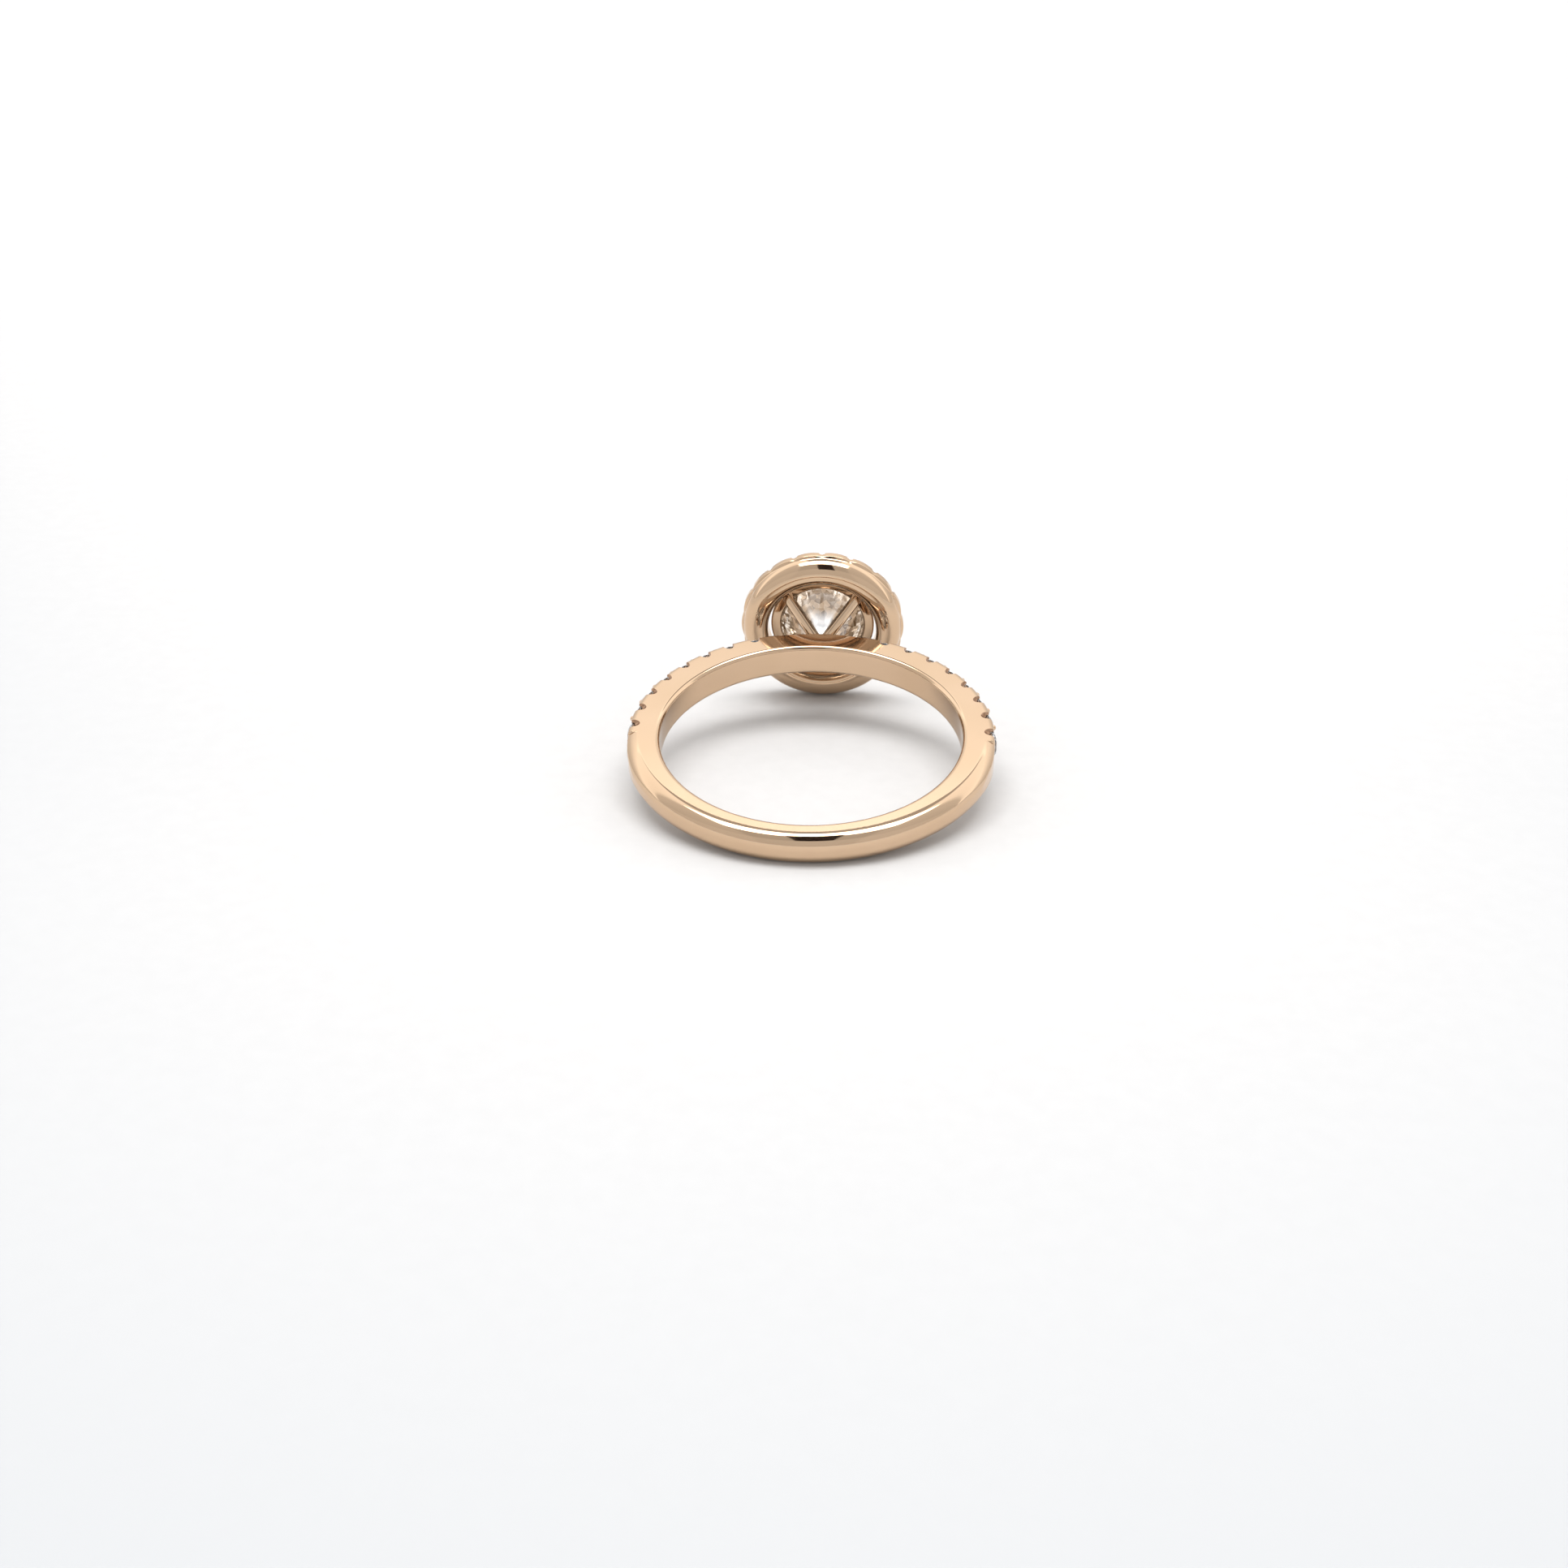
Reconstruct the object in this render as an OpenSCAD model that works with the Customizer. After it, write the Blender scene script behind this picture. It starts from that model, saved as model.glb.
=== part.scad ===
// Halo engagement ring, lying on its side as it rests by itself on a flat surface.
// +Z is up, +Y runs from the back of the shank to the head and X runs across the ring.
// The ring is drawn in its own plane first, with the finger hole along Z and the head
// towards +Y. It is then tilted about X until the halo's rim and the back of the shank
// both touch the ground at z = 0. The origin is the middle of the ring's box, on the
// ground.

/* [Finger hole and shank] */
// Inner diameter of the ring
finger_d = 16.5; // [15:0.1:20]
// Width of the shank along the finger
shank_w = 1.8; // [1.6:0.05:2.2]
// Thickness of the shank at its sides
side_t = 1.81; // [1.7:0.01:2]
// Thickness of the shank in the middle of its back
back_t = 1.56; // [1.3:0.01:1.8]
// Thickness of the shank under the head
bridge_t = 1.45; // [1.2:0.01:1.6]
// Rounding of the edges at the finger hole
finger_edge = 0.25; // [0.05:0.01:0.3]
// Rounding of the outer edges
outer_edge = 0.36; // [0.1:0.01:0.4]

/* [Shoulder stones] */
// Stones on each shoulder
shoulder_count = 8; // [4:1:8]
// Diameter of a shoulder stone
shoulder_stone_d = 1.5; // [1.3:0.01:1.52]
// Angle from the middle of the head to the first stone
shoulder_start = 22.9; // [22:0.1:24]
// Angle from one stone to the next
shoulder_pitch = 9.35; // [9.2:0.05:9.8]

/* [Halo] */
// Stones in the halo
halo_count = 18; // [16:1:18]
// Diameter of a halo stone
halo_stone_d = 1.2; // [1.1:0.01:1.25]
// Radius of the halo over its lobes
halo_r = 4.8; // [4.75:0.01:5]
// Radius of the halo's opening around the centre stone
halo_hole_r = 3.2; // [3.18:0.01:3.28]
// Distance of the halo's front face from the middle of the finger hole
halo_front = 12.42; // [12.3:0.01:12.8]

/* [Centre stone] */
// Diameter of the centre stone
centre_d = 5.7; // [5.5:0.05:5.8]
// Distance of the centre stone's point from the middle of the finger hole
culet_y = 10.22; // [10.2:0.01:10.5]

/* [Prongs] */
// Thickness of a prong's wire
prong_w = 0.54; // [0.5:0.01:0.58]

/* [Hidden] */
$fn = 96;
bead_fn = 24;
// How far cutting shapes run past what they cut, and joined shapes into each other
cut = 0.5;
join = 0.01;
beyond = 30;
// Gap between a stone and its seat
seat_gap = 0.025;

finger_r = finger_d / 2;
side_r = finger_r + side_t;
bridge_r = finger_r + bridge_t;

// The dome of the back is a half round centred nearer the head than the finger hole is
dome_r = shank_w / 2 + 0.01;
dome_shift = 0.5;
dome_mid = finger_r + back_t - dome_r + dome_shift;

// Round brilliant, as shares of its diameter
table_share = 0.28;
crown_share = 0.15;
girdle_share = 0.035;
pavilion_share = 0.43;
star_share = 0.385;
lower_share = 0.11;

// Shoulders: lobe tops and the dips between them, both as radii
lobe_top = side_r - 0.06;
lobe_dip = lobe_top - 0.18;
shoulder_half = shoulder_pitch / 2;
shoulder_end = shoulder_start + (shoulder_count - 0.5) * shoulder_pitch;
lobe_mid = lobe_centre(lobe_top, lobe_dip, shoulder_half);
shoulder_seat_r = lobe_top - 0.18;
groove_r = 0.34;
groove_start = shoulder_seat_r - 0.4;
channel_w = 0.84;
bead_r = 0.16;
bead_z = 0.6;
bead_sunk = 0.03;

// Halo: rim with lobes, and a bulging back of two arcs that run into each other. Points
// of its section are [radius, distance behind the front face].
rim_t = 0.45;
bulge_r = halo_r - 0.14;
back_round = 0.5;
back_mid = [halo_hole_r + back_round, 0.85];
bulge_over = [bulge_r, rim_t] - back_mid;
side_round = (bulge_over * bulge_over - back_round * back_round) / 2 / (bulge_over[0] - back_round);
side_mid = [bulge_r - side_round, rim_t];
halo_half = 180 / halo_count;
halo_dip = halo_r - 0.08;
halo_lobe_mid = lobe_centre(halo_r, halo_dip, halo_half);
halo_seat_r = (halo_r + halo_hole_r) / 2 - 0.02;
halo_seat_y = halo_front - 0.06;
bead_out = 0.555;
inner_bead_r = 0.13;
halo_groove_r = 0.22;
halo_groove_t = 0.24;

// Ring that the centre stone sits in: its outer radius, its width, its back and the
// slope at the back's edges
gallery_r = centre_d / 2 + 0.2;
gallery_w = 0.6;
gallery_y = 12.12;
gallery_edge = 0.12;

// Prongs: a sloped wire from the shank to that ring, and a straight wire beside the stone.
// Points are [radius, distance from the middle of the finger hole].
prong_corner_r = 0.32;
prong_foot = [-0.2, 9.72];
prong_knee = [2.7, 11.75];
claw_r = 3.04;
claw_foot = 11.93;
claw_in = 0.06;
girdle_y = culet_y + pavilion_share * centre_d;
table_y = girdle_y + (girdle_share + crown_share) * centre_d;
claw_y = girdle_y + 0.42;
foot_r = 0.75;
foot_h = 0.3;
foot_taper = 0.2;

// Resting tilt: the ground touches two lobes of the halo's rim, at their back edge, and
// the half round of the back
rim_low = halo_lobe_mid * cos(halo_half) + halo_r - halo_lobe_mid;
back_y = dome_mid - dome_shift;
reach = [halo_front - rim_t + back_y, rim_low];
tilt = atan2(reach[1], reach[0]) - asin(dome_r / norm(reach));
lift = back_y * sin(tilt) + dome_r;
far_y = table_y * cos(tilt) + table_share * centre_d * sin(tilt);
near_y = -back_y * cos(tilt) - dome_r;
middle_y = (far_y + near_y) / 2;

sides = ["left", "right"];

rose_gold = [0.93, 0.70, 0.56];
diamond = [0.93, 0.95, 0.97];

// Distance from the middle at which a lobe's circle reaches out to top and meets the
// next lobe's circle at dip, when the two lobes are twice half apart.
function lobe_centre(top, dip, half) = (top * top - dip * dip) / 2 / (top - dip * cos(half));

function circle_points(count, r, z, turn = 0) =
    [for (i = [0 : count - 1]) [r * cos(360 * i / count + turn), r * sin(360 * i / count + turn), z]];

// Points on an arc, without the one at its start
function arc_points(middle, r, from, to, steps) =
    [for (i = [1 : steps]) let (a = from + (to - from) * i / steps) middle + r * [cos(a), sin(a)]];

// Girdle edge with 32 corners: every second one is moved by wave, because the facets
// that meet the girdle there run out further.
function girdle_points(r, z, wave) =
    [for (i = [0 : 31]) [r * cos(11.25 * i), r * sin(11.25 * i), z + (i % 2) * wave]];

// Angle of shoulder stone i, counted from the head, on the given side
function shoulder_angle(side, i) =
    (side == "left" ? 1 : -1) * (shoulder_start + (i - 1) * shoulder_pitch);

// Round brilliant with its table up and the lower edge of its girdle at z = 0
module brilliant(d) {
    r = d / 2;
    table_r = table_share * d;
    star_r = star_share * d;
    lower_r = lower_share * d;
    girdle = girdle_share * d;
    crown = crown_share * d;
    pavilion = pavilion_share * d;
    star_z = crown * (r - star_r * cos(22.5)) / (r - table_r);
    lower_z = pavilion * (lower_r * cos(22.5) / r - 1);
    run_out = r * (1 - cos(11.25)) / cos(11.25);
    points = concat(
        circle_points(8, table_r, girdle + crown),
        circle_points(8, star_r, girdle + star_z, 22.5),
        girdle_points(r, girdle, -star_z / (r - star_r) * run_out),
        girdle_points(r, 0, -lower_z / (r - lower_r) * run_out),
        circle_points(8, lower_r, lower_z, 22.5),
        [[0, 0, -pavilion]]
    );
    faces = concat(
        [[for (i = [7 : -1 : 0]) i]],
        [for (i = [0 : 7]) [i, (i + 1) % 8, 8 + i]],
        [for (i = [0 : 7]) [i, 8 + i, 16 + 4 * i, 8 + (i + 7) % 8]],
        [for (i = [0 : 7]) [8 + i, 18 + 4 * i, 17 + 4 * i, 16 + 4 * i]],
        [for (i = [0 : 7]) [8 + i, 16 + (4 * i + 4) % 32, 19 + 4 * i, 18 + 4 * i]],
        [for (i = [0 : 31]) [16 + i, 16 + (i + 1) % 32, 48 + (i + 1) % 32, 48 + i]],
        [for (i = [0 : 7]) [48 + 4 * i, 49 + 4 * i, 50 + 4 * i, 80 + i]],
        [for (i = [0 : 7]) [50 + 4 * i, 51 + 4 * i, 48 + (4 * i + 4) % 32, 80 + i]],
        [for (i = [0 : 7]) [80 + (i + 7) % 8, 48 + 4 * i, 80 + i, 88]]
    );
    polyhedron(points, faces);
}

// Space a stone of diameter d takes, with the seat's gap around it
module seat(d) {
    r = d / 2 + seat_gap;
    top = (girdle_share + crown_share) * d + 1.2 * seat_gap;
    rotate_extrude()
        polygon([
            [0, -pavilion_share * d - 1.4 * seat_gap],
            [r, -seat_gap / 2],
            [r, girdle_share * d + seat_gap / 2],
            [table_share * d, top],
            [0, top]
        ]);
}

// Turns a stone or seat from table up to table towards the head's front
module facing_front() {
    rotate([-90, 0, 0]) children();
}

module at_centre() {
    translate([0, girdle_y, 0]) facing_front() children();
}

module at_halo(i) {
    rotate([0, 360 / halo_count * (i - 1), 0])
        translate([0, halo_seat_y, halo_seat_r])
            facing_front() children();
}

module at_shoulder(side, i) {
    rotate([0, 0, shoulder_angle(side, i)])
        translate([0, shoulder_seat_r, 0])
            facing_front() children();
}

// Section of the shank, with rounded edges
module shank_section() {
    half = shank_w / 2;
    translate([finger_r, -half + finger_edge]) square([side_t / 2, shank_w - 2 * finger_edge]);
    translate([finger_r + finger_edge, -half]) square([side_t - finger_edge - outer_edge, shank_w]);
    translate([side_r - side_t / 2, -half + outer_edge]) square([side_t / 2, shank_w - 2 * outer_edge]);
    for (z = [-1, 1]) {
        translate([finger_r + finger_edge, z * (half - finger_edge)]) circle(r = finger_edge);
        translate([side_r - outer_edge, z * (half - outer_edge)]) circle(r = outer_edge);
    }
}

// Outline of the shank seen along the finger: smooth at the back, lobes on the
// shoulders and a thinner bridge under the head
module shank_outline() {
    difference() {
        circle(r = side_r + cut);
        polygon([
            [0, 0],
            [-beyond * sin(shoulder_end), beyond * cos(shoulder_end)],
            [-beyond, beyond],
            [beyond, beyond],
            [beyond * sin(shoulder_end), beyond * cos(shoulder_end)]
        ]);
    }
    circle(r = bridge_r);
    for (side = [-1, 1])
        for (i = [0 : shoulder_count])
            rotate(side * (shoulder_start + (i - 0.5) * shoulder_pitch))
                translate([0, lobe_mid]) circle(r = lobe_top - lobe_mid);
}

// Half-round limit of the shank, off centre so that it only shapes the back
module back_dome() {
    translate([0, dome_shift, 0])
        rotate_extrude() {
            translate([0, -dome_r]) square([dome_mid, 2 * dome_r]);
            translate([dome_mid, 0]) circle(r = dome_r);
        }
}

module shank_body() {
    intersection() {
        rotate_extrude() shank_section();
        translate([0, 0, -shank_w]) linear_extrude(2 * shank_w) shank_outline();
        back_dome();
    }
}

// Grooves beside a shoulder stone, one on each edge, sloping from the side face outwards
module shoulder_grooves() {
    for (flip = [0, 1])
        mirror([0, 0, flip])
            translate([0, groove_start, shank_w / 2])
                rotate([-135, 0, 0])
                    translate([0, -groove_r, -1]) cylinder(h = 2.2, r = groove_r);
}

// Channel along a row of shoulder stones, so that metal stands only at the edges
module shoulder_channel(side) {
    span = (shoulder_count - 1) * shoulder_pitch;
    start = side == "left" ? 90 + shoulder_start : 90 - shoulder_start - span;
    rotate_extrude(angle = span, start = start)
        translate([shoulder_seat_r + 0.02, -channel_w / 2]) square([1, channel_w]);
}

module shoulder_beads(side) {
    for (i = [0 : shoulder_count - 1])
        rotate([0, 0, shoulder_angle(side, i + 0.5)])
            for (z = [-bead_z, bead_z])
                translate([0, lobe_top - bead_sunk, z]) sphere(r = bead_r, $fn = bead_fn);
}

// Section of the halo: X is the radius, Y the distance behind the front face. Its arcs are
// short chords, so that the bulging back is a row of narrow cones.
module halo_section() {
    side_turn = atan2(back_mid[1] - side_mid[1], back_mid[0] - side_mid[0]);
    polygon(concat(
        [[halo_hole_r, 0], [halo_r + cut, 0], [halo_r + cut, rim_t], [bulge_r, rim_t]],
        arc_points(side_mid, side_round, 0, side_turn, 5),
        arc_points(back_mid, back_round, side_turn, 180, 9)
    ));
}

module halo_outline() {
    circle(r = halo_dip - 0.1);
    for (i = [1 : halo_count])
        rotate((i - 0.5) * 360 / halo_count)
            translate([0, halo_lobe_mid]) circle(r = halo_r - halo_lobe_mid);
}

// Groove beside a halo stone, sloping from the front face out to the rim
module halo_groove(i) {
    rotate([0, 360 / halo_count * (i - 1), 0])
        translate([0, halo_front - halo_groove_t, halo_r])
            rotate([45, 0, 0])
                translate([0, halo_groove_r, -1]) cylinder(h = 2, r = halo_groove_r);
}

// Beads on both sides of the halo stones, a little smaller next to the centre stone
module halo_beads() {
    for (i = [1 : halo_count])
        rotate([0, 360 / halo_count * (i - 0.5), 0])
            for (bead = [[halo_seat_r + bead_out, bead_r], [halo_seat_r - bead_out, inner_bead_r]])
                translate([0, halo_front - bead_sunk, bead[0]])
                    sphere(r = bead[1], $fn = bead_fn);
}

module halo() {
    bulge_t = back_mid[1] + back_round - rim_t;
    intersection() {
        translate([0, halo_front, 0]) rotate([90, 0, 0]) rotate_extrude() halo_section();
        translate([0, halo_front - rim_t, 0])
            facing_front() {
                linear_extrude(rim_t + cut) halo_outline();
                translate([0, 0, -bulge_t - cut])
                    cylinder(h = bulge_t + cut + join, r = bulge_r + join);
            }
    }
}

// Square wire standing on z = 0, with its corners cut back to a circle
module prong_wire(length) {
    linear_extrude(length)
        intersection() {
            square(prong_w, center = true);
            circle(r = prong_corner_r, $fn = 64);
        }
}

// One prong, in the plane of Y and Z with the head's middle along Y
module prong() {
    run = prong_knee - prong_foot;
    translate([0, prong_foot[1], prong_foot[0]])
        rotate([-atan2(run[1], run[0]), 0, 0])
            prong_wire(norm(run));
    translate([0, prong_knee[1], prong_knee[0]])
        sphere(r = prong_w / 2 + join, $fn = 48);
    translate([0, claw_foot, claw_r])
        facing_front() prong_wire(claw_y - claw_foot);
    translate([0, claw_y, claw_r - claw_in])
        sphere(r = prong_w / 2 + claw_in, $fn = 48);
}

// Ring that the centre stone sits in, with sloped edges at its back
module gallery() {
    inner_r = gallery_r - gallery_w;
    front = girdle_y - gallery_y;
    translate([0, gallery_y, 0])
        facing_front()
            rotate_extrude()
                polygon([
                    [inner_r + gallery_edge, 0],
                    [gallery_r - gallery_edge, 0],
                    [gallery_r, gallery_edge],
                    [gallery_r, front],
                    [inner_r, front],
                    [inner_r, gallery_edge]
                ]);
}

// Foot in which the four prongs meet on the bridge
module head_foot() {
    translate([0, bridge_r - cut, 0])
        facing_front() cylinder(h = foot_h + cut, r1 = foot_r, r2 = foot_r - foot_taper);
}

module ring_mount() {
    color(rose_gold)
        difference() {
            union() {
                difference() {
                    shank_body();
                    for (side = sides) {
                        for (i = [1 : shoulder_count])
                            rotate([0, 0, shoulder_angle(side, i)]) shoulder_grooves();
                        shoulder_channel(side);
                    }
                }
                difference() {
                    halo();
                    for (i = [1 : halo_count]) halo_groove(i);
                }
                for (side = sides) shoulder_beads(side);
                halo_beads();
                head_foot();
                gallery();
                for (turn = [45 : 90 : 315]) rotate([0, turn, 0]) prong();
            }
            at_centre() seat(centre_d);
            for (i = [1 : halo_count]) at_halo(i) seat(halo_stone_d);
            for (side = sides)
                for (i = [1 : shoulder_count]) at_shoulder(side, i) seat(shoulder_stone_d);
        }
}

module centre_stone() {
    color(diamond) at_centre() brilliant(centre_d);
}

module halo_stone(i) {
    color(diamond) at_halo(i) brilliant(halo_stone_d);
}

module shoulder_stone(side, i) {
    color(diamond) at_shoulder(side, i) brilliant(shoulder_stone_d);
}

// Tips the ring over into its resting place
module resting() {
    translate([0, -middle_y, lift]) rotate([tilt, 0, 0]) children();
}

resting() ring_mount();
resting() centre_stone();
for (i = [1 : halo_count])
    resting() halo_stone(i);
for (side = sides)
    for (i = [1 : shoulder_count])
        resting() shoulder_stone(side, i);
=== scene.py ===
from math import acos, atan2, cos, degrees, pi, radians, sin, sqrt

import bmesh
import bpy
from mathutils import Matrix, Vector


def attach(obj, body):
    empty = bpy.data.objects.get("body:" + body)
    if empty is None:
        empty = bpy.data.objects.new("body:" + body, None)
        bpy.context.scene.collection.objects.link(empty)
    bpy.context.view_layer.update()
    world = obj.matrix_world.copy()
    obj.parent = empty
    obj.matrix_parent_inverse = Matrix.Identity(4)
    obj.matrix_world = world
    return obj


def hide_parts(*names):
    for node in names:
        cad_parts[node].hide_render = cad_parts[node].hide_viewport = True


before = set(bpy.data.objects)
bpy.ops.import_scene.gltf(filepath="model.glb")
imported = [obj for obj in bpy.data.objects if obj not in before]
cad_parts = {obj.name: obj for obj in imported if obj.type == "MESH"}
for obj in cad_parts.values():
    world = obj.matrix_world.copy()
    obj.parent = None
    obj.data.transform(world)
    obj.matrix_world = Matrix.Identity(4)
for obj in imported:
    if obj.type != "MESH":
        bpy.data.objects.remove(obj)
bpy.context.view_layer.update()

scene = bpy.context.scene


# Camera: it looks down on the lying ring from behind the back of the shank, past the
# finger hole, at the back of the head.
camera_place = Vector((0.0057395, -0.1064059, 0.0517888))
camera_height, camera_side, camera_roll = radians(26.3341), radians(3.9666), radians(-0.2249)

camera_data = bpy.data.cameras.new("camera")
camera_data.sensor_width = 36
camera_data.lens = 48.447
camera_data.clip_start = 0.005
camera_data.clip_end = 20
camera = bpy.data.objects.new("camera", camera_data)
camera.matrix_world = (
    Matrix.Translation(camera_place)
    @ Matrix.Rotation(camera_side, 4, "Z")
    @ Matrix.Rotation(pi / 2 - camera_height, 4, "X")
    @ Matrix.Rotation(camera_roll, 4, "Z")
)
scene.collection.objects.link(camera)
scene.camera = camera


# Table: a sheet of smooth white card, large enough to run out of sight. It is matt, with
# a faint mottle of pulp, and takes the ring's soft shadow.
floor_size = 6.0
# Painted shade: the card's colour greys as the light falls off from lit_r to dim_r, and by
# back_lift later behind the ring
lit_r, dim_r, back_lift = 0.020, 0.064, 0.6


def material(name):
    """A new material with only its Principled shader. Returns both, with its tree between."""
    made = bpy.data.materials.new(name)
    made.use_nodes = True
    return made, made.node_tree, made.node_tree.nodes["Principled BSDF"]


def fed(tree, made, inputs):
    """Feeds a node's inputs, each from an output or with a number or colour. Returns it."""
    for name, value in inputs.items():
        socket = made.inputs[name]
        if isinstance(value, bpy.types.NodeSocket):
            tree.links.new(value, socket)
        else:
            socket.default_value = (*value, 1) if socket.type == "RGBA" else value
    return made


def node(tree, kind, inputs=None, **settings):
    """A new shader node with its settings made and its inputs fed. Returns its outputs."""
    made = tree.nodes.new("ShaderNode" + kind)
    for name, value in settings.items():
        setattr(made, name, value)
    return fed(tree, made, inputs or {}).outputs


def worked(tree, operation, *given, clamped=False):
    """Works out a sum on outputs and numbers. Returns its output."""
    inputs = dict(enumerate(given))
    return node(tree, "Math", inputs, operation=operation, use_clamp=clamped)["Value"]


def blend(tree, mask, first, second, kind="RGBA"):
    """Goes from the first colour to the second by a mask. Returns its output."""
    inputs = {"Factor": mask, "A": first, "B": second}
    return node(tree, "Mix", inputs, data_type=kind)["Result"]


def fading(tree, value, full, gone):
    """A mask that is whole up to full and nothing from gone on. Returns its output."""
    inputs = {"Value": value, "From Min": full, "From Max": gone, "To Min": 1.0, "To Max": 0.0}
    return node(tree, "MapRange", inputs)["Result"]


def noise(tree, scale, detail):
    """Noise fixed to the piece, in cells per metre. Returns its output."""
    place = node(tree, "TexCoord")["Object"]
    return node(tree, "TexNoise", {"Vector": place, "Scale": scale, "Detail": detail})["Fac"]


def ramp(tree, mask, dark, light, start=0.35, end=0.65):
    """Turns a mask into a colour, dark up to start and light from end. Returns its output."""
    made = tree.nodes.new("ShaderNodeValToRGB")
    stops = zip(made.color_ramp.elements, (start, end), (dark, light))
    for stop, position, colour in stops:
        stop.position, stop.color = position, (*colour, 1)
    return fed(tree, made, {"Fac": mask}).outputs["Color"]


def white_card():
    """Matt white card, with painted shade: its colour greys where the light falls off."""
    card, tree, shader = material("white_card")
    place = node(tree, "TexCoord")["Object"]
    inputs = {0: place, 1: (floor_size, 0, floor_size)}
    before_ring = node(tree, "VectorMath", inputs, operation="MINIMUM")["Vector"]
    far = node(tree, "VectorMath", {0: before_ring}, operation="LENGTH")["Value"]
    behind = worked(tree, "MAXIMUM", node(tree, "SeparateXYZ", {"Vector": place})["Y"], 0.0)
    far = worked(tree, "MULTIPLY_ADD", behind, -back_lift, far)
    lit = fading(tree, far, lit_r, dim_r)
    pulp = ramp(tree, noise(tree, 900, 3), (0.63, 0.621, 0.616), (0.645, 0.636, 0.631))
    fed(tree, shader, {
        "Base Color": blend(tree, lit, (0.54, 0.549, 0.56), pulp),
        "Roughness": 0.9,
        "Specular IOR Level": 0.2,
    })
    return card


def flat_sheet(name, wide, high, skin):
    """A thin card about its own middle."""
    x, y = wide / 2, high / 2
    mesh = bpy.data.meshes.new(name)
    mesh.from_pydata([(-x, -y, 0), (x, -y, 0), (x, y, 0), (-x, y, 0)], [], [(0, 1, 2, 3)])
    mesh.materials.append(skin)
    made = bpy.data.objects.new(name, mesh)
    scene.collection.objects.link(made)
    return made


flat_sheet("floor", floor_size, floor_size, white_card())


# Light: a bright panel overhead in a pale room, with a dark gap between the panel and the
# wall behind the ring. Past the table's edge the room is a plain pale backdrop.
brightest, side_blur, backdrop_level = 6.5, 0.06, 0.88
# Least height that counts, so that nothing is divided by nought
hardly = 0.0001
# Each row: degrees from the wall behind the camera over the panel to the wall behind the
# ring, level in the middle of the room, level at its sides, sideways reach of the middle
room_levels = (
    (0, 0.72, 0.78, 0.42), (40, 0.74, 0.80, 0.42), (42, 0.60, 0.72, 0.42),
    (77, 0.62, 0.78, 0.42), (79, brightest, 0.80, 0.42), (98, brightest, 0.84, 0.42),
    (104, brightest, 1.30, 0.42), (106, 0.55, 1.40, 0.25), (129, 0.55, 1.55, 0.25),
    (131.2, 2.0, 1.58, 0.42), (134, 1.42, 1.46, 0.42), (142, 1.13, 1.24, 0.42),
    (155, 0.95, 0.95, 0.42), (180, 0.75, 0.75, 0.42),
)


def pale_room():
    """The world that the levels describe."""
    room = bpy.data.worlds.new("room")
    room.use_nodes = True
    tree = room.node_tree
    way = node(tree, "SeparateXYZ", {"Vector": node(tree, "TexCoord")["Generated"]})
    turn = worked(
        tree, "ARCTAN2",
        worked(tree, "MAXIMUM", way["Z"], hardly), worked(tree, "MULTIPLY", way["Y"], -1.0),
    )
    levels = tree.nodes.new("ShaderNodeValToRGB")
    stops = levels.color_ramp.elements
    for row in room_levels[1:-1]:
        stops.new(row[0] / 180)
    for stop, (_, middle, side, reach) in zip(stops, room_levels):
        stop.color = (middle / brightest, side / brightest, reach, 1)
    fed(tree, levels, {"Fac": worked(tree, "DIVIDE", turn, pi)})
    found = node(tree, "SeparateColor", {"Color": levels.outputs["Color"]})
    past_middle = worked(tree, "SUBTRACT", worked(tree, "ABSOLUTE", way["X"]), found["Blue"])
    beside = worked(tree, "DIVIDE", past_middle, side_blur, clamped=True)
    level = blend(tree, beside, found["Red"], found["Green"], kind="FLOAT")
    seen = node(tree, "LightPath")["Is Camera Ray"]
    level = blend(tree, seen, level, backdrop_level / brightest, kind="FLOAT")
    fed(tree, tree.nodes["Background"], {"Color": level, "Strength": brightest})
    return room


scene.world = pale_room()
scene.view_settings.view_transform = "Standard"


# Dark flag: a sheet of dull black card that hangs above the camera, so that the polished
# metal has something dark to mirror. The camera itself doesn't see it, and it casts no shadow.
flag_size = (0.046, 0.104)
flag_off, flag_height = 0.150, radians(59.5)


def black_card():
    """Dull black card with a trace of brown."""
    card, tree, shader = material("black_card")
    tone = ramp(tree, noise(tree, 40, 2), (0.010, 0.003, 0.003), (0.022, 0.007, 0.006))
    fed(tree, shader, {"Base Color": tone, "Roughness": 0.8})
    return card


flag = flat_sheet("dark_flag", *flag_size, black_card())
flag.matrix_world = (
    Matrix.Rotation(camera_side, 4, "Z")
    @ Matrix.Rotation(pi / 2 - flag_height, 4, "X")
    @ Matrix.Translation((0, 0, flag_off))
)
flag.visible_camera = flag.visible_shadow = flag.visible_diffuse = False


# Shank: one rose gold casting, turned smooth inside, with flat polished sides. Its back
# swells into a half round, and its shoulders are cut into lobes between the small stones.
# All of the ring is drawn flat, in millimetres, and then laid down as it rests.
rest_y, rest_z, rest_tilt = -2.06227, 2.51916, radians(10.4166)
lying = (
    Matrix.Scale(0.001, 4)
    @ Matrix.Translation((0, rest_y, rest_z))
    @ Matrix.Rotation(rest_tilt, 4, "X")
)
finger_r, side_r, bridge_r, half_w = 8.25, 10.06, 9.70, 0.90
finger_edge, outer_edge = 0.25, 0.36
dome_r, dome_shift, dome_mid = 0.91, 0.5, 9.40
# Soft corner between the flat sides and the half round: it grows along these degrees
corner_r, corner_in = 0.745, 0.078
corner_from, corner_full = 100, 140
shoulder_start, shoulder_pitch, shoulder_count = 22.9, 9.35, 8
shoulder_end = shoulder_start + (shoulder_count - 0.5) * shoulder_pitch
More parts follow.
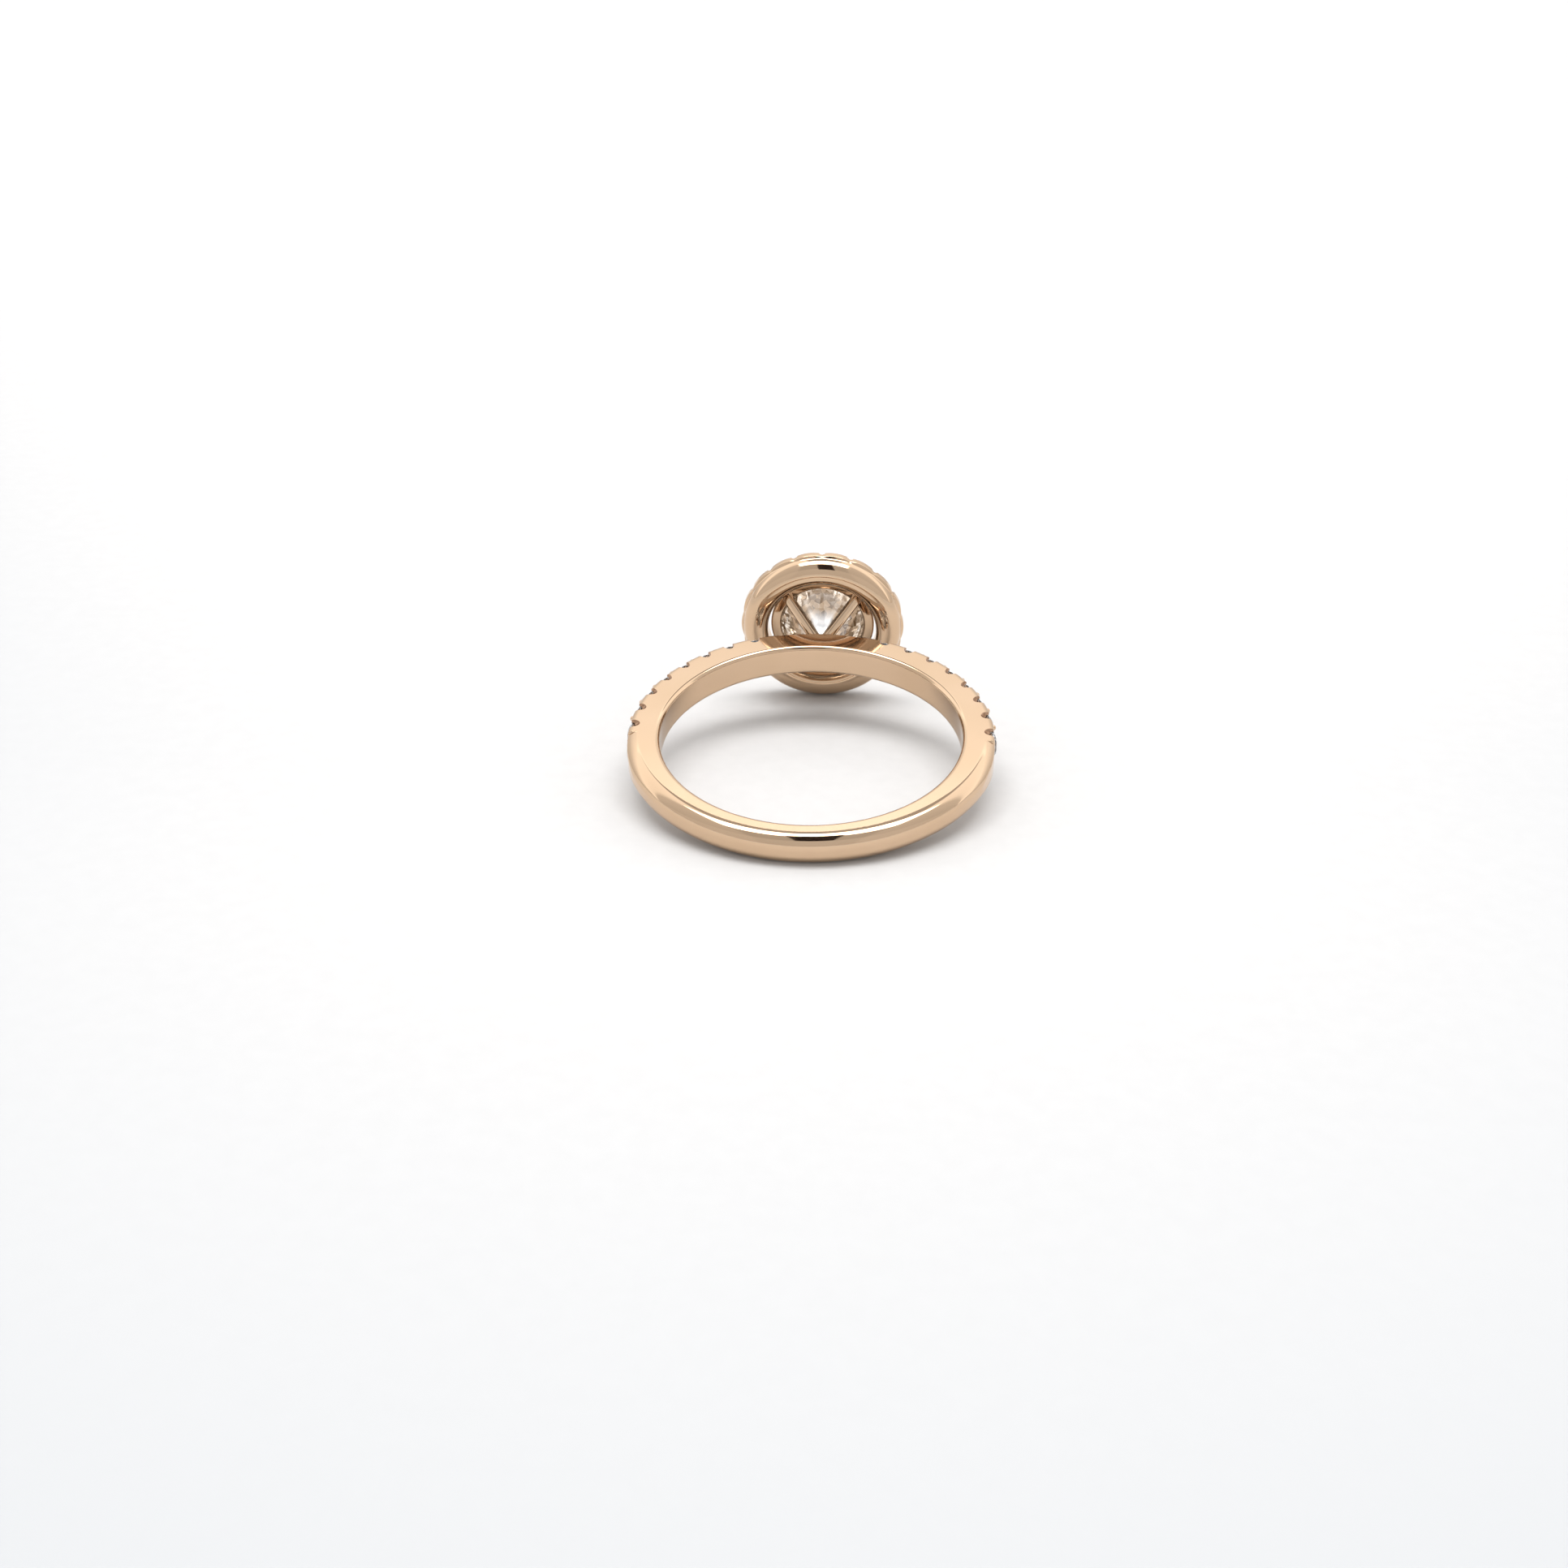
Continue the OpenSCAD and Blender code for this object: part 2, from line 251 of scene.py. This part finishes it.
# The lobes begin bridge_end pitches from the first stone, and run out over lobe_fade degrees
lobe_top, lobe_dip, lobe_fade, bridge_end = 10.00, 9.82, 8, -0.9
# Degrees between two sections, and where they are closer together along the lobes
wide_step, fine_step, fine_from, fine_to = 0.75, 0.25, 13, 102
mark_depth, ripple_height, sharp_from = 0.06, 0.0000015, 38


def lobe_centre(top, dip, half):
    """Where the circle of a lobe stands that reaches top and meets the next one at dip."""
    return (top * top - dip * dip) / 2 / (top - dip * cos(half))


def lobe_reach(middle, top, off):
    """Radius of a lobe's edge, off radians beside its middle."""
    return middle * cos(off) + sqrt((top - middle) ** 2 - (middle * sin(off)) ** 2)


shoulder_lobe = lobe_centre(lobe_top, lobe_dip, radians(shoulder_pitch / 2))


def off_head(angle):
    """Degrees from the head to an angle round the shank, the shorter way."""
    return abs((angle + 180) % 360 - 180)


def shank_reach(angle, z):
    """Outer radius of the shank at an angle from the head, in degrees, and a height z."""
    turn = off_head(angle)
    over = max(abs(z) - (half_w - outer_edge), 0)
    rounded = side_r - outer_edge + sqrt(max(outer_edge**2 - over**2, 0))
    back = dome_mid + sqrt(dome_r**2 - z**2)
    aside = dome_shift * sin(radians(turn))
    domed = dome_shift * cos(radians(turn)) + sqrt(back**2 - aside**2)
    if turn > shoulder_end:
        faded = lobe_top + (side_r - lobe_top) * min((turn - shoulder_end) / lobe_fade, 1)
        return min(rounded, domed, faded)
    place = (turn - shoulder_start) / shoulder_pitch
    if place < bridge_end:
        return min(rounded, bridge_r)
    off = radians((place + 0.5 - round(place + 0.5)) * shoulder_pitch)
    return min(rounded, max(bridge_r, lobe_reach(shoulder_lobe, lobe_top, off)))


def arc(middle, r, start, end, steps):
    """Points on a circle from start to end degrees, both included."""
    turns = [radians(start + (end - start) * i / steps) for i in range(steps + 1)]
    return [(middle[0] + r * cos(t), middle[1] + r * sin(t)) for t in turns]


def shank_loop(angle):
    """The shank's section at an angle, as (radius, height) points round its outline."""
    turn, low, inner = off_head(angle), half_w - finger_edge, finger_r + finger_edge
    upper = arc((inner, low), finger_edge, 180, 90, 6)
    edge = shank_reach(angle, half_w)
    side = [inner + (edge - inner) * share for share in (0.02, 0.35, 0.7, 0.93)]
    grown = min(max((turn - corner_from) / (corner_full - corner_from), 0), 1)
    outer = []
    for z in (half_w * cos(radians(t)) for t in range(0, 181, 4)):
        reach = shank_reach(angle, z)
        if turn >= corner_from:
            drop = min(half_w - abs(z), corner_r)
            soft = sqrt(corner_r**2 - (corner_r - drop) ** 2)
            reach = min(reach, edge - corner_in * grown + soft)
        outer.append((reach, z))
    return (
        [(finger_r, z) for z in (-low * 0.6, -low * 0.2, low * 0.2, low * 0.6)]
        + upper
        + [(r, half_w) for r in side]
        + outer
        + [(r, -half_w) for r in reversed(side)]
        + [(r, -z) for r, z in reversed(upper)]
    )


def wheel_polish():
    """What a polishing wheel leaves: a slight ripple, fine marks and an uneven shine."""
    group = bpy.data.node_groups.new("wheel_polish", "ShaderNodeTree")
    for name, value in (
        ("Mark Scale", 5200.0), ("Ripple Scale", 260.0), ("Low Shine", 0.10), ("High Shine", 0.05),
    ):
        socket = group.interface.new_socket(name, in_out="INPUT", socket_type="NodeSocketFloat")
        socket.default_value = value
    for name in ("Roughness", "Height", "Tone"):
        group.interface.new_socket(name, in_out="OUTPUT", socket_type="NodeSocketFloat")
    given = group.nodes.new("NodeGroupInput").outputs
    place = node(group, "TexCoord")["Object"]
    marks, ripple = (
        node(group, "TexNoise", {"Vector": place, "Scale": scale, "Detail": detail})["Fac"]
        for scale, detail in ((given["Mark Scale"], 4), (given["Ripple Scale"], 1))
    )
    shine = {"Value": marks, "To Min": given["High Shine"], "To Max": given["Low Shine"]}
    fed(group, group.nodes.new("NodeGroupOutput"), {
        "Roughness": node(group, "MapRange", shine)["Result"],
        "Height": worked(group, "MULTIPLY_ADD", marks, mark_depth, ripple),
        "Tone": ripple,
    })
    return group


def polished_gold():
    """Rose gold off the wheel. Gold seen mirrored in other gold is given a paler colour, painted
    light that keeps the nooks clear.
    """
    gold, tree, shader = material("rose_gold")
    finish = node(tree, "Group", node_tree=wheel_polish())
    tone = ramp(tree, finish["Tone"], (0.662, 0.470, 0.310), (0.688, 0.494, 0.334))
    seen = node(tree, "LightPath")["Is Camera Ray"]
    bump = {"Height": finish["Height"], "Distance": ripple_height, "Strength": 1.0}
    # Painted light: rays mirrored off other gold see the paler colour, and only the camera sees the
    # gold's own tone
    fed(tree, shader, {
        "Base Color": blend(tree, seen, (0.64, 0.505, 0.39), tone),
        "Metallic": 1.0,
        "Roughness": finish["Roughness"],
        "Normal": node(tree, "Bump", bump)["Normal"],
    })
    return gold


def bur_cut_shaded_gold():
    """The duller skin that burs leave in grooves and seats, past the wheel, coloured darker and
    browner as painted shade in these hollows.
    """
    gold, tree, shader = material("cut_rose_gold_painted_shade")
    # Painted shade: the base colour is much darker and browner than the polished gold
    fed(tree, shader, {
        "Base Color": ramp(tree, noise(tree, 6000, 3), (0.30, 0.17, 0.10), (0.52, 0.33, 0.22)),
        "Metallic": 1.0,
        "Roughness": ramp(tree, noise(tree, 9000, 2), (0.26, 0.26, 0.26), (0.42, 0.42, 0.42)),
    })
    return gold


rose_gold, shaded_cut_gold = polished_gold(), bur_cut_shaded_gold()


def piece(name, points, faces, skin=rose_gold):
    """A new object of the flat ring, with its faces turned outwards."""
    mesh = bpy.data.meshes.new(name)
    mesh.materials.append(skin)
    mesh.from_pydata(points, [], faces)
    work = bmesh.new()
    work.from_mesh(mesh)
    bmesh.ops.recalc_face_normals(work, faces=work.faces)
    work.to_mesh(mesh)
    work.free()
    made = bpy.data.objects.new(name, mesh)
    scene.collection.objects.link(made)
    return made


def drawn(name, loops, closed=True, skin=rose_gold):
    """A body whose skin runs through equal loops of points, one after the other: a closed
    ring, or a bar with two flat ends."""
    rows, width = len(loops), len(loops[0])
    faces = [
        (a * width + b, a * width + (b + 1) % width,
         (a + 1) % rows * width + (b + 1) % width, (a + 1) % rows * width + b)
        for a in range(rows if closed else rows - 1) for b in range(width)
    ]
    if not closed:
        faces += [tuple(range(width)), tuple(range((rows - 1) * width, rows * width))]
    return piece(name, [point for loop in loops for point in loop], faces, skin)


def turned(name, profile, sides, place=Matrix.Identity(4), skin=rose_gold):
    """A body turned about its own Z from (radius, height) points that start and end on the
    axis, put in its place in the flat ring."""
    points, rings = [], []
    for r, h in profile:
        count = sides if r else 1
        rings.append(range(len(points), len(points) + count))
        points += [
            place @ Vector((r * cos(2 * pi * i / sides), r * sin(2 * pi * i / sides), h))
            for i in range(count)
        ]
    faces = []
    for low, high in zip(rings, rings[1:]):
        for i in range(sides):
            j = (i + 1) % sides
            corners = (
                low[i % len(low)], low[j % len(low)], high[j % len(high)], high[i % len(high)],
            )
            faces.append(tuple(dict.fromkeys(corners)))
    return piece(name, points, faces, skin)


def joined(bodies):
    """One object of several that don't meet."""
    whole = bodies[0]
    work = bmesh.new()
    for body in bodies:
        work.from_mesh(body.data)
    work.to_mesh(whole.data)
    work.free()
    for body in bodies[1:]:
        bpy.data.objects.remove(body)
    return whole


def combined(whole, operation, *tools):
    """Cuts the tools out of a body (DIFFERENCE) or joins them to it (UNION)."""
    for tool in tools:
        step = whole.modifiers.new("step", "BOOLEAN")
        step.operation = operation
        step.solver = "MANIFOLD"
        step.material_mode = "TRANSFER"
        step.object = tool
    bpy.context.view_layer.update()
    worked_on = whole.evaluated_get(bpy.context.evaluated_depsgraph_get())
    mesh = bpy.data.meshes.new_from_object(worked_on)
    whole.modifiers.clear()
    whole.data = mesh
    for tool in tools:
        bpy.data.objects.remove(tool)
    return whole


def finished(made):
    """Lays a gold piece down with the ring, polishes it and gives it to the model."""
    made.data.transform(lying)
    made.data.shade_smooth()
    made.data.set_sharp_from_angle(angle=radians(sharp_from))
    even = made.modifiers.new("even_normals", "WEIGHTED_NORMAL")
    even.keep_sharp = True
    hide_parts("ring_mount")
    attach(made, "root")
    return made


def shank_angles():
    """Angles of the shank's sections, closer together along the lobes."""
    angle = 0.0
    while angle < 360:
        yield angle
        angle += fine_step if fine_from < off_head(angle) < fine_to else wide_step


shank = drawn(
    "ring_shank",
    [
        [(-r * sin(radians(a)), r * cos(radians(a)), z) for r, z in shank_loop(a)]
        for a in shank_angles()
    ],
)

# The seats, the channel and the grooves beside each stone are cut with burs of the same
# shapes as the stones and the grooves. Beads stand between the stones, along both edges.
# The faces that the burs cut take the gold with painted shade.
facing_front = Matrix.Rotation(-pi / 2, 4, "X")
seat_gap, seat_open = 0.025, 0.4
# The gap as it is measured upright, over the slopes of the crown and at the point
gap_over_crown, gap_at_point = 1.2 * seat_gap, 1.4 * seat_gap
table_share, crown_share, girdle_share, pavilion_share = 0.28, 0.15, 0.035, 0.43
shoulder_stone_d, shoulder_seat_r = 1.50, 9.82
groove_r, groove_start, groove_deep = 0.34, 9.42, 1
channel_w, channel_low, channel_high, channel_steps = 0.84, 9.84, 10.82, 60
bead_r, bead_z, bead_sunk = 0.16, 0.60, 0.03


def seat_bur(d, place):
    """The hollow that a round stone of diameter d sits in, open above the stone."""
    top = (girdle_share + crown_share) * d + gap_over_crown + seat_open
    profile = [
        (0, -pavilion_share * d - gap_at_point),
        (d / 2 + seat_gap, -seat_gap / 2),
        (d / 2 + seat_gap, girdle_share * d + seat_gap / 2),
        (table_share * d, top),
        (0, top),
    ]
    return turned("seat", profile, 64, place, shaded_cut_gold)


def groove_bur(r, sides, place):
    """The round bar that a groove is cut with."""
    profile = [(0, -groove_deep), (r, -groove_deep), (r, groove_deep), (0, groove_deep)]
    return turned("groove", profile, sides, place, shaded_cut_gold)


def bead(r, place):
    """A bead raised from the edge and rounded with a cup tool."""
    profile = [
        (r * sin(radians(t)) if 0 < t < 180 else 0, -r * cos(radians(t)))
        for t in range(0, 181, 12)
    ]
    return turned("bead", profile, 24, place)


def channel_bur(side):
    """The bar-shaped cut along one row of stones."""
    loops = []
    for i in range(channel_steps + 1):
        along = (shoulder_count - 1) * shoulder_pitch * i / channel_steps
        a = radians(side * (shoulder_start + along))
        loops.append([
            (-r * sin(a), r * cos(a), z * channel_w / 2)
            for r, z in ((channel_low, -1), (channel_high, -1), (channel_high, 1), (channel_low, 1))
        ])
    return drawn("channel", loops, closed=False, skin=shaded_cut_gold)


def shoulder_turn(side, i):
    """Turns the head's direction to stone i of a shoulder, 1 next to the head."""
    return Matrix.Rotation(radians(side * (shoulder_start + (i - 1) * shoulder_pitch)), 4, "Z")


shoulder_stones = [(side, i) for side in (1, -1) for i in range(1, shoulder_count + 1)]
shoulder_seats = joined([
    seat_bur(
        shoulder_stone_d,
        shoulder_turn(side, i) @ Matrix.Translation((0, shoulder_seat_r, 0)) @ facing_front,
    )
    for side, i in shoulder_stones
])
shoulder_grooves = [
    joined([
        groove_bur(
            groove_r, 48,
            shoulder_turn(side, i)
            @ Matrix.Diagonal((1, 1, edge, 1))
            @ Matrix.Translation((0, groove_start, half_w))
            @ Matrix.Rotation(radians(-135), 4, "X")
            @ Matrix.Translation((0, -groove_r, 0)),
        )
        for side, i in shoulder_stones
    ])
    for edge in (1, -1)
]
shoulder_beads = joined([
    bead(bead_r, shoulder_turn(side, i - 0.5) @ Matrix.Translation((0, lobe_top - bead_sunk, z)))
    for side, i in shoulder_stones for z in (-bead_z, bead_z)
])
channels = joined([channel_bur(1), channel_bur(-1)])
combined(shank, "DIFFERENCE", channels, *shoulder_grooves)
combined(shank, "UNION", shoulder_beads)
combined(shank, "DIFFERENCE", shoulder_seats)
finished(shank)


# Halo: a rose gold rim round the centre stone, set with small stones. Its back bulges
# and is polished, its edge is scalloped between the stones, and the claws carry it.
halo_count, halo_stone_d, halo_r, halo_hole_r, halo_front = 18, 1.20, 4.80, 3.20, 12.42
# The back is two arcs that run into each other. Points are (radius, depth).
rim_t, bulge_r, back_round, back_mid = 0.45, 4.66, 0.50, (3.70, 0.85)
halo_dip, rim_edge = 4.72, 0.03
# Depths between which the scallops run out into the back
fade_from, fade_to = 0.37, 0.50
halo_half, halo_steps = pi / halo_count, 720
# The stones sit a little inside the middle of the rim, and a little below its front
halo_seat_in, halo_seat_deep = 0.02, 0.06
halo_seat_r = (halo_r + halo_hole_r) / 2 - halo_seat_in
halo_seat_y = halo_front - halo_seat_deep
halo_groove_r, halo_groove_t = 0.22, 0.24
bead_out, inner_bead_r = 0.555, 0.13
halo_lobe = lobe_centre(halo_r, halo_dip, halo_half)
back_span = (bulge_r - back_mid[0], rim_t - back_mid[1])
side_round = (
    (back_span[0] ** 2 + back_span[1] ** 2 - back_round**2) / 2 / (back_span[0] - back_round)
)
side_mid = (bulge_r - side_round, rim_t)
side_turn = degrees(atan2(back_mid[1] - side_mid[1], back_mid[0] - side_mid[0]))


def halo_loop(turn):
    """The halo's section at a turn from one of its stones, as (radius, depth) points."""
    off = (turn + halo_half) % (2 * halo_half) - halo_half
    lobe = lobe_reach(halo_lobe, halo_r, halo_half - abs(off)) - bulge_r
    bulge = [(bulge_r, t) for t in (0.1, 0.2, 0.3, 0.36, 0.39, 0.42)]
    bulge += arc(side_mid, side_round, 0, side_turn, 24)
    outer = []
    for r, t in bulge:
        fade = min(max((t - fade_from) / (fade_to - fade_from), 0), 1)
        outer.append((r + lobe * (1 - fade * fade * (3 - 2 * fade)), t))
    corner = (outer[0][0] - rim_edge, rim_edge)
    return (
        [(halo_hole_r + 0.02, 0), (halo_hole_r + 0.3, 0), (corner[0] - 0.3, 0)]
        + arc(corner, rim_edge, 270, 360, 4)
        + outer
        + arc(back_mid, back_round, side_turn, 180, 20)[1:]
        + [(halo_hole_r, 0.6), (halo_hole_r, 0.3), (halo_hole_r, 0.02)]
    )


halo = drawn(
    "halo_rim",
    [
        [(r * sin(a), halo_front - t, r * cos(a)) for r, t in halo_loop(a)]
        for a in (2 * pi * i / halo_steps for i in range(halo_steps))
    ],
)


def halo_turn(i):
    """Turns the top of the halo to its stone i, clockwise from the front."""
    return Matrix.Rotation(2 * pi * (i - 1) / halo_count, 4, "Y")


halo_stones = range(1, halo_count + 1)
halo_seats = joined([
    seat_bur(
        halo_stone_d,
        halo_turn(i) @ Matrix.Translation((0, halo_seat_y, halo_seat_r)) @ facing_front,
    )
    for i in halo_stones
])
halo_grooves = joined([
    groove_bur(
        halo_groove_r, 40,
        halo_turn(i)
        @ Matrix.Translation((0, halo_front - halo_groove_t, halo_r))
        @ Matrix.Rotation(radians(45), 4, "X")
        @ Matrix.Translation((0, halo_groove_r, 0)),
    )
    for i in halo_stones
])
halo_beads = joined([
    bead(
        r,
        halo_turn(i + 0.5) @ Matrix.Translation((0, halo_front - bead_sunk, halo_seat_r + out)),
    )
    for i in halo_stones for out, r in ((bead_out, bead_r), (-bead_out, inner_bead_r))
])
combined(halo, "DIFFERENCE", halo_grooves)
combined(halo, "UNION", halo_beads)
combined(halo, "DIFFERENCE", halo_seats)
finished(halo)


# Basket: a ring under the centre stone, soldered onto four square wires that rise from a
# small foot on the shank. The wires end in claws over the stone's edge.
centre_d, girdle_y = 5.70, 12.671
seat_in, seat_out, seat_back, seat_edge = 2.45, 3.05, 12.12, 0.12
# Where the flat faces of that ring are divided, and how many sections it is drawn with
seat_mid_r, seat_mid_y, seat_steps = 2.73, 12.45, 240
prong_w, prong_corner_r, claw_r = 0.54, 0.32, 3.04
foot_start = 9.2
# Half the foot's outline, as (radius, height)
foot_profile = [
    (0, 0), (0.78, 0), (0.76, 0.52), (0.70, 0.60), (0.62, 0.70), (0.56, 0.80), (0.50, 0.84),
    (0, 0.84),
]
# Middle line of a prong, as (radius, height, share of the wire's width)
prong_path = (
    (-0.2, 9.72, 1), (1.0, 10.56, 1), (2.0, 11.26, 1), (2.45, 11.575, 1),
    (2.68, 11.735, 1), (2.86, 11.88, 1), (2.98, 12.05, 1), (3.03, 12.22, 1),
    (claw_r, 12.45, 1), (claw_r, 12.8, 1), (claw_r - 0.01, 13.0, 1),
    (claw_r - 0.06, 13.14, 0.98), (claw_r - 0.16, 13.25, 0.90), (claw_r - 0.27, 13.31, 0.74),
    (claw_r - 0.35, 13.335, 0.50), (claw_r - 0.385, 13.34, 0.22),
)

seat_section = (
    arc((seat_in + seat_edge, seat_back + seat_edge), seat_edge, 180, 270, 6)
    + arc((seat_out - seat_edge, seat_back + seat_edge), seat_edge, 270, 360, 6)
    + [(seat_out, seat_mid_y), (seat_out, girdle_y), (seat_mid_r, girdle_y)]
    + [(seat_in, girdle_y), (seat_in, seat_mid_y)]
)
basket = drawn(
    "stone_basket",
    [
        [(r * sin(a), y, r * cos(a)) for r, y in seat_section]
        for a in (2 * pi * i / seat_steps for i in range(seat_steps))
    ],
)


def wire_section():
    """Outline of the square wire with its corners cut back to a circle, about its middle."""
    cut = degrees(acos(prong_w / 2 / prong_corner_r))
    return [
        point for turn in (0, 90, 180, 270)
        for point in arc((0, 0), prong_corner_r, turn + cut, turn + 90 - cut, 5)
    ]


def prong(turn):
    """One wire from the foot to its claw, turned about the head's middle line."""
    loops = []
    for k, (r, y, share) in enumerate(prong_path):
        before, after = prong_path[max(k - 1, 0)], prong_path[min(k + 1, len(prong_path) - 1)]
        along = Vector((after[0] - before[0], after[1] - before[1])).normalized()
        loops.append([
            (across * share, y - deep * share * along[0], r + deep * share * along[1])
            for across, deep in wire_section()
        ])
    made = drawn("prong", loops, closed=False)
    made.data.transform(Matrix.Rotation(turn, 4, "Y"))
    return made


foot = turned("foot", foot_profile, 64, Matrix.Translation((0, foot_start, 0)) @ facing_front)
centre_place = Matrix.Translation((0, girdle_y, 0)) @ facing_front
for corner in (45, 135, 225, 315):
    combined(basket, "UNION", prong(radians(corner)))
combined(basket, "UNION", foot)
combined(basket, "DIFFERENCE", seat_bur(centre_d, centre_place))
finished(basket)


# Stones: round brilliants of clear diamond with flat polished facets, kept as they are
# cut and set. Seen from behind, the centre stone has a painted reflection: a bright fan at
# its point, and the brown of the gold around it in small patches, painted into its colour
# and glowing for the camera only.
diamond_body = {"IOR": 2.417, "Transmission Weight": 1.0, "Roughness": 0.0}
culet_z, painted_glow_level, patch_scale = 0.00436, 0.80, 3600
# Where the painted fan is whole and where it is gone: by its spread for its height, and by its
# height in metres
fan_spread, fan_h = (0.45, 0.6167), (0.00108, 0.00168)
# The back of the stone ends this far towards the head, in metres
head_way = (lying.to_3x3() @ Vector((0, 1, 0))).normalized()
girdle_off, girdle_blur = (lying @ Vector((0, girdle_y, 0))).dot(head_way), 0.00005


def clear_diamond():
    """A clear stone with a trace of warmth."""
    stone, tree, shader = material("diamond")
    tone = ramp(tree, noise(tree, 700, 2), (0.93, 0.90, 0.86), (1.0, 0.985, 0.96))
    fed(tree, shader, {"Base Color": tone, **diamond_body})
    return stone


def centre_diamond():
    """The centre stone, with a painted reflection on its back alone: brown patches and a bright
    fan, painted into its colour and glowing for the camera only.
    """
    stone, tree, shader = material("centre_diamond")
    place = node(tree, "TexCoord")["Object"]
    way = node(tree, "SeparateXYZ", {"Vector": place})
    patches = node(tree, "TexVoronoi", {"Vector": place, "Scale": patch_scale})["Color"]
    patch = node(tree, "SeparateColor", {"Color": patches})
    climb = worked(tree, "SUBTRACT", way["Z"], culet_z)
    above = worked(tree, "MAXIMUM", climb, hardly)
    spread = worked(tree, "DIVIDE", worked(tree, "ABSOLUTE", way["X"]), above)
    fan = worked(
        tree, "MULTIPLY", fading(tree, spread, *fan_spread), fading(tree, climb, *fan_h),
    )
    headwards = node(tree, "VectorMath", {0: place, 1: head_way}, operation="DOT_PRODUCT")
    behind = fading(tree, headwards["Value"], girdle_off - girdle_blur, girdle_off)
    seen = worked(tree, "MULTIPLY", behind, node(tree, "LightPath")["Is Camera Ray"])
    # Painted reflection: brown patches of the gold around the stone, and a bright fan at its point
    brown = ramp(tree, patch["Red"], (0.10, 0.055, 0.025), (0.46, 0.33, 0.22), 0.1, 0.9)
    painted_warm_patches = ramp(tree, patch["Green"], (0.26, 0.19, 0.13), (0.86, 0.78, 0.68), 0.2, 0.8)
    painted_reflection = blend(tree, fan, brown, (0.95, 0.96, 0.98))
    # Behind the girdle the colour is painted with warm patches, and the painted reflection glows
    # for the camera only
    fed(tree, shader, {
        "Base Color": blend(tree, behind, (1.0, 0.985, 0.96), painted_warm_patches),
        "Emission Color": blend(tree, seen, (0, 0, 0), painted_reflection),
        "Emission Strength": painted_glow_level,
        **diamond_body,
    })
    return stone


small_skin, centre_skin = clear_diamond(), centre_diamond()
for name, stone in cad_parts.items():
    if name != "ring_mount":
        stone.data.materials.clear()
        stone.data.materials.append(centre_skin if name == "centre_stone" else small_skin)
